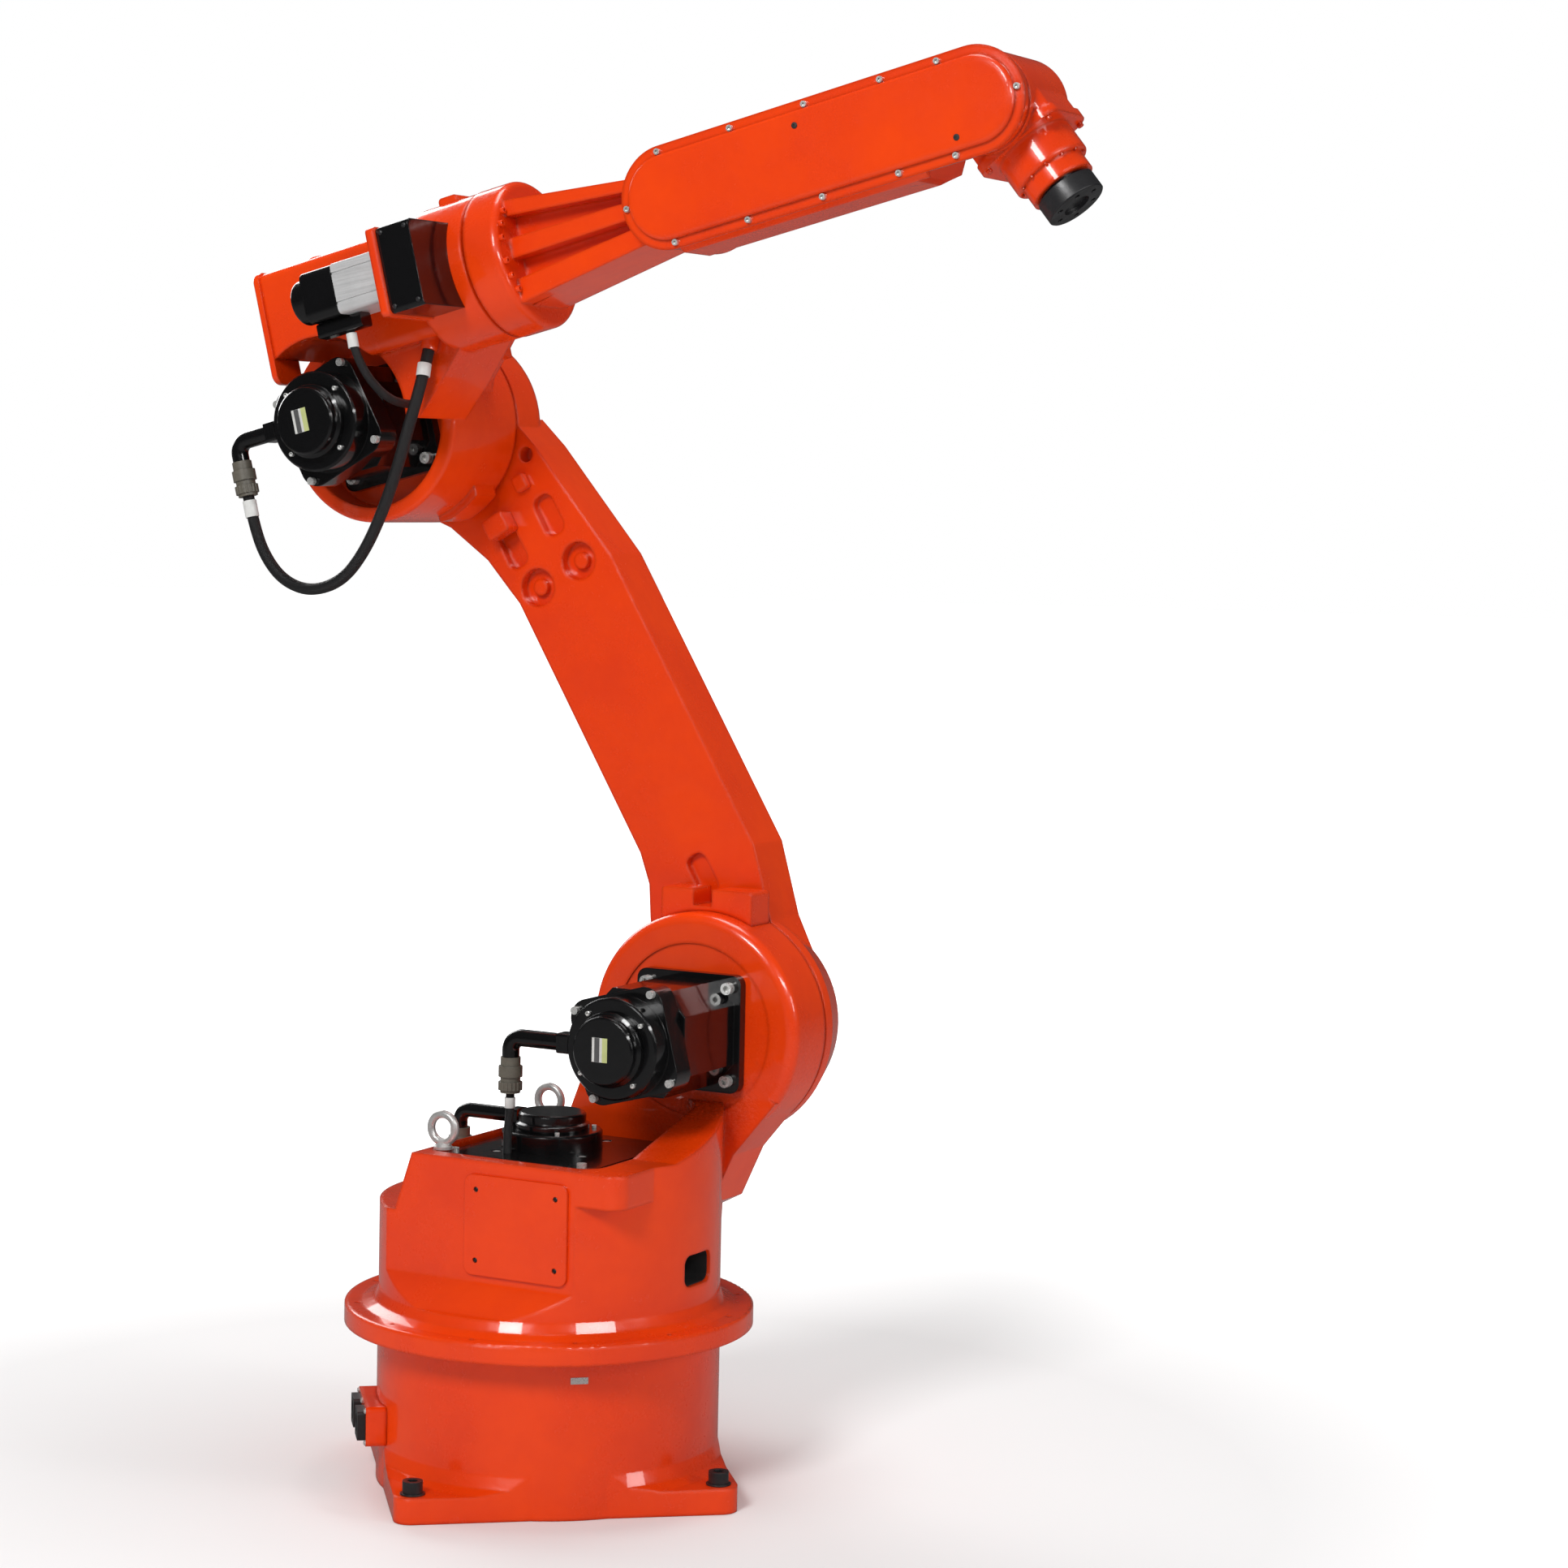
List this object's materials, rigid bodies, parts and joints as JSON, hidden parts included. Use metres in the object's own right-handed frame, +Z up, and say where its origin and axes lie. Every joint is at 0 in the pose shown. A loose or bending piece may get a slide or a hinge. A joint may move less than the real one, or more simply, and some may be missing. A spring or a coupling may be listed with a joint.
{
  "type": "industrial robot arm",
  "caption": "Floor-mounted jointed robot arm: round turning column, leaning lower arm, long forearm with side covers, bending wrist and tool flange, driven by servo motors.",
  "frame": {"origin": "on the first joint's vertical axis, at the underside of the foot", "axes": "+Z up; +X away from the connector box on the foot, along a side of the square foot; at rest the arm points 39 degrees from +X towards -Y"},
  "size_m": [1.1505, 1.1647, 2.1096],
  "materials": {
    "orange_paint": "gloss orange-red enamel over castings",
    "motor_black": "gloss black",
    "zinc_steel": "zinc plated screws",
    "plug_olive": "olive grey cast shell",
    "plug_black": "satin black",
    "black_oxide": "satin black oxide",
    "bright_steel": "bright zinc",
    "stator_aluminium": "satin extruded",
    "cover_black": "gloss black sheet cover",
    "cable_black": "braided black sleeve"
  },
  "bodies": {
    "base": {"base_casting": "orange_paint", "foot_bolts": "black_oxide", "connector_box": "orange_paint", "base_sockets": "plug_black", "travel_stop": "plug_black"},
    "column": {"column_casting": "orange_paint", "side_cover": "orange_paint", "eyebolts": "bright_steel", "shoulder_stop": "orange_paint", "turn_motor": "motor_black", "turn_motor_shield": "motor_black", "turn_motor_cap": "motor_black", "turn_motor_plate": "motor_black", "shoulder_motor": "motor_black", "shoulder_motor_shield": "motor_black", "shoulder_motor_cap": "motor_black", "column_motor_screws": "zinc_steel", "column_connectors": "motor_black", "column_plugs": "plug_olive", "shoulder_lead": "cable_black", "turn_lead": "cable_black"},
    "lower_arm": {"lower_arm_casting": "orange_paint", "arm_stop": "orange_paint"},
    "upper_arm": {"elbow_casting": "orange_paint", "tail_cover": "orange_paint", "elbow_motor": "motor_black", "elbow_motor_shield": "motor_black", "elbow_motor_cap": "motor_black", "elbow_motor_screws": "zinc_steel", "elbow_connector": "motor_black", "elbow_plug": "plug_olive", "roll_motor": "stator_aluminium", "roll_motor_rear": "motor_black", "roll_drive_cover": "cover_black", "elbow_lead": "cable_black", "roll_lead": "cable_black"},
    "forearm": {"forearm_casting": "orange_paint", "near_cover": "orange_paint", "far_cover": "orange_paint", "cover_screws": "zinc_steel"},
    "wrist": {"wrist_casting": "orange_paint", "wrist_screws": "zinc_steel", "wrist_cap": "orange_paint"},
    "tool": {"tool_flange": "black_oxide"}
  },
  "joints": [
    {"name": "column_turn", "type": "hinge", "parent": "base", "child": "column", "pos_m": [0, 0, 0.235], "axis": [0, 0, 1], "range_deg": [-141, 219]},
    {"name": "lower_arm_swing", "type": "hinge", "parent": "column", "child": "lower_arm", "pos_m": [0.12046, -0.09755, 0.677], "axis": [0.6293, 0.7771, 0], "range_deg": [-29, 111]},
    {"name": "forearm_lift", "type": "hinge", "parent": "lower_arm", "child": "upper_arm", "pos_m": [-0.30422, 0.24635, 1.58645], "axis": [-0.6293, -0.7771, 0], "range_deg": [-64, 86]},
    {"name": "forearm_roll", "type": "hinge", "parent": "upper_arm", "child": "forearm", "pos_m": [-0.08242, 0.06674, 1.82596], "axis": [0.7527, -0.6095, 0.2487], "range_deg": [-360, 360]},
    {"name": "wrist_bend", "type": "hinge", "parent": "forearm", "child": "wrist", "pos_m": [0.54912, -0.44467, 2.03461], "axis": [0.6293, 0.7771, 0], "range_deg": [-180, 50]},
    {"name": "tool_turn", "type": "hinge", "parent": "wrist", "child": "tool", "pos_m": [0.63643, -0.51537, 1.89783], "axis": [0.4933, -0.3994, -0.7727], "range_deg": [-360, 360]}
  ]
}
